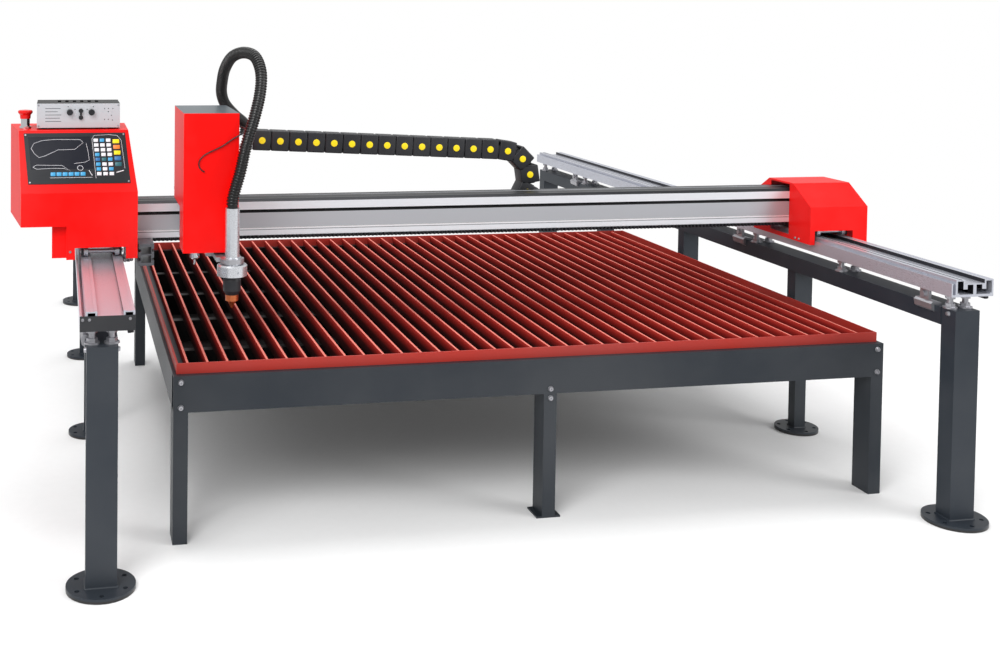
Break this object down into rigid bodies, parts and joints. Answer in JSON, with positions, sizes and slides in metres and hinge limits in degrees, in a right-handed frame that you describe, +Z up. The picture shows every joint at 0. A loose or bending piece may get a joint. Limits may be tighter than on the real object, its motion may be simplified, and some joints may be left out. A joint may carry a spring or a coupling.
{
  "type": "gantry plasma cutting machine",
  "caption": "Portable gantry cutting machine: floor-standing rails, travelling gantry with console, lifter box, torch and drag chain, over a free-standing slat table",
  "frame": {"origin": "centre of the footprint, on the floor", "axes": "X along the gantry beam towards the right end cover, Y along the rails away from the front, Z up"},
  "size_m": [2.752, 3.1096, 1.3056],
  "materials": {
    "paint_red": "satin powder coat",
    "paint_slat": "thin red primer, worn",
    "paint_grey": "satin slate paint",
    "paint_charcoal": "satin charcoal paint",
    "bright_steel": "machined",
    "dark_steel": "black oxide",
    "anodised": "anodised",
    "chromed": "polished",
    "copper_tip": "turned copper alloy",
    "rubber_black": "matt",
    "nylon_black": "fine grain",
    "plastic_red": "gloss",
    "panel_film": "satin film",
    "key_film": "satin film",
    "screen_glass": "smooth"
  },
  "bodies": {
    "frame": {"rails": "anodised", "rail_end_cap": "nylon_black", "support_tubes": "paint_grey", "end_posts": "paint_grey", "mid_post_sleeves": "paint_grey", "mid_post_legs": "paint_grey", "base_plates": "paint_grey", "base_pads": "rubber_black", "levelling_bolts": "bright_steel", "rail_clamps": "bright_steel", "travel_racks": "dark_steel", "table_frame": "paint_charcoal", "table_legs": "paint_charcoal", "slag_trays": "paint_charcoal", "slat_rim": "paint_red", "slats": "paint_slat", "frame_bolts": "bright_steel"},
    "gantry": {"gantry_beam": "anodised", "cross_rack": "dark_steel", "chain_tray": "paint_charcoal", "end_trucks": "dark_steel", "stub_profile": "anodised", "drive_motors": "paint_charcoal", "console_housing": "paint_red", "console_back_cover": "paint_red", "control_panel": "panel_film", "display_screen": "screen_glass", "panel_keys": "key_film", "console_screws": "bright_steel", "height_case": "paint_charcoal", "height_front_plate": "anodised", "estop_collar": "chromed", "right_end_cover": "paint_red", "chain_lower_run": "nylon_black"},
    "carriage": {"carriage_plate": "bright_steel", "carriage_motors": "paint_charcoal", "lifter_cover": "paint_red", "guide_rods": "chromed", "probe_cup": "chromed", "chain_upper_run": "nylon_black", "sensor_lead": "rubber_black", "torch_hose": "rubber_black"},
    "torch": {"lift_block": "bright_steel", "breakaway_ring": "anodised", "torch_tube": "anodised", "torch_head": "nylon_black", "torch_nozzle": "copper_tip"},
    "left_pinion": {"left_pinion": "bright_steel"},
    "right_pinion": {"right_pinion": "bright_steel"},
    "wheels_lf": {"wheels_left_front": "bright_steel"},
    "wheels_lr": {"wheels_left_rear": "bright_steel"},
    "wheels_rf": {"wheels_right_front": "bright_steel"},
    "wheels_rr": {"wheels_right_rear": "bright_steel"},
    "cross_pinion": {"cross_pinion": "bright_steel"},
    "chain_bend": {"chain_bend_links": "nylon_black"},
    "estop": {"estop_button": "plastic_red"},
    "left_knob": {"left_knob": "nylon_black"},
    "right_knob": {"right_knob": "nylon_black"},
    "set_button": {"set_button": "nylon_black"},
    "lead_screw": {"lead_screw": "bright_steel"}
  },
  "joints": [
    {"name": "gantry_travel", "type": "slide", "parent": "frame", "child": "gantry", "axis": [0, 1, 0], "range_m": [-0.55, 1.95]},
    {"name": "carriage_travel", "type": "slide", "parent": "gantry", "child": "carriage", "axis": [1, 0, 0], "range_m": [0, 1.62], "deforming": ["chain_upper_run"]},
    {"name": "torch_lift", "type": "slide", "parent": "carriage", "child": "torch", "axis": [0, 0, 1], "range_m": [-0.095, 0.005], "deforming": ["torch_hose"]},
    {"name": "chain_bend_travel", "type": "slide", "parent": "gantry", "child": "chain_bend", "axis": [1, 0, 0], "range_m": [0, 0.81], "deforming": ["chain_lower_run"]},
    {"name": "left_pinion_turn", "type": "hinge", "parent": "gantry", "child": "left_pinion", "pos_m": [-1.0294, -0.635, 0.635], "axis": [0, 0, 1], "range_deg": [-1350, 4700]},
    {"name": "right_pinion_turn", "type": "hinge", "parent": "gantry", "child": "right_pinion", "pos_m": [1.3406, -0.635, 0.635], "axis": [0, 0, 1], "range_deg": [-1350, 4700]},
    {"name": "wheels_lf_turn", "type": "hinge", "parent": "gantry", "child": "wheels_lf", "pos_m": [-1.1075, -0.84, 0.7033], "axis": [1, 0, 0], "range_deg": [-7500, 2150]},
    {"name": "wheels_lr_turn", "type": "hinge", "parent": "gantry", "child": "wheels_lr", "pos_m": [-1.1075, -0.59, 0.7033], "axis": [1, 0, 0], "range_deg": [-7500, 2150]},
    {"name": "wheels_rf_turn", "type": "hinge", "parent": "gantry", "child": "wheels_rf", "pos_m": [1.2625, -0.84, 0.7033], "axis": [1, 0, 0], "range_deg": [-7500, 2150]},
    {"name": "wheels_rr_turn", "type": "hinge", "parent": "gantry", "child": "wheels_rr", "pos_m": [1.2625, -0.59, 0.7033], "axis": [1, 0, 0], "range_deg": [-7500, 2150]},
    {"name": "cross_pinion_turn", "type": "hinge", "parent": "carriage", "child": "cross_pinion", "pos_m": [-0.801, -0.7961, 0.716], "axis": [0, 0, 1], "range_deg": [0, 2330]},
    {"name": "lead_screw_turn", "type": "hinge", "parent": "carriage", "child": "lead_screw", "pos_m": [-0.811, -0.93, 0.9], "axis": [0, 0, 1], "range_deg": [-6900, 400]},
    {"name": "estop_push", "type": "slide", "parent": "gantry", "child": "estop", "axis": [0, 0, 1], "range_m": [-0.005, 0], "stiffness_N_per_m": 1500},
    {"name": "left_knob_turn", "type": "hinge", "parent": "gantry", "child": "left_knob", "pos_m": [-1.2, -0.79, 1.106], "axis": [0, 1, 0], "range_deg": [-150, 150]},
    {"name": "right_knob_turn", "type": "hinge", "parent": "gantry", "child": "right_knob", "pos_m": [-1.137, -0.79, 1.106], "axis": [0, 1, 0], "range_deg": [-150, 150]},
    {"name": "set_button_push", "type": "slide", "parent": "gantry", "child": "set_button", "axis": [0, 1, 0], "range_m": [0, 0.0025], "stiffness_N_per_m": 500}
  ],
  "couplings": [
    {"joint": "wheels_lf_turn", "follows": "gantry_travel", "rad_per_m": -66.667},
    {"joint": "wheels_lr_turn", "follows": "gantry_travel", "rad_per_m": -66.667},
    {"joint": "wheels_rf_turn", "follows": "gantry_travel", "rad_per_m": -66.667},
    {"joint": "wheels_rr_turn", "follows": "gantry_travel", "rad_per_m": -66.667},
    {"joint": "left_pinion_turn", "follows": "gantry_travel", "rad_per_m": 41.667},
    {"joint": "right_pinion_turn", "follows": "gantry_travel", "rad_per_m": 41.667},
    {"joint": "cross_pinion_turn", "follows": "carriage_travel", "rad_per_m": 25},
    {"joint": "chain_bend_travel", "follows": "carriage_travel", "ratio": 0.5},
    {"joint": "lead_screw_turn", "follows": "torch_lift", "rad_per_m": 1256.6}
  ]
}
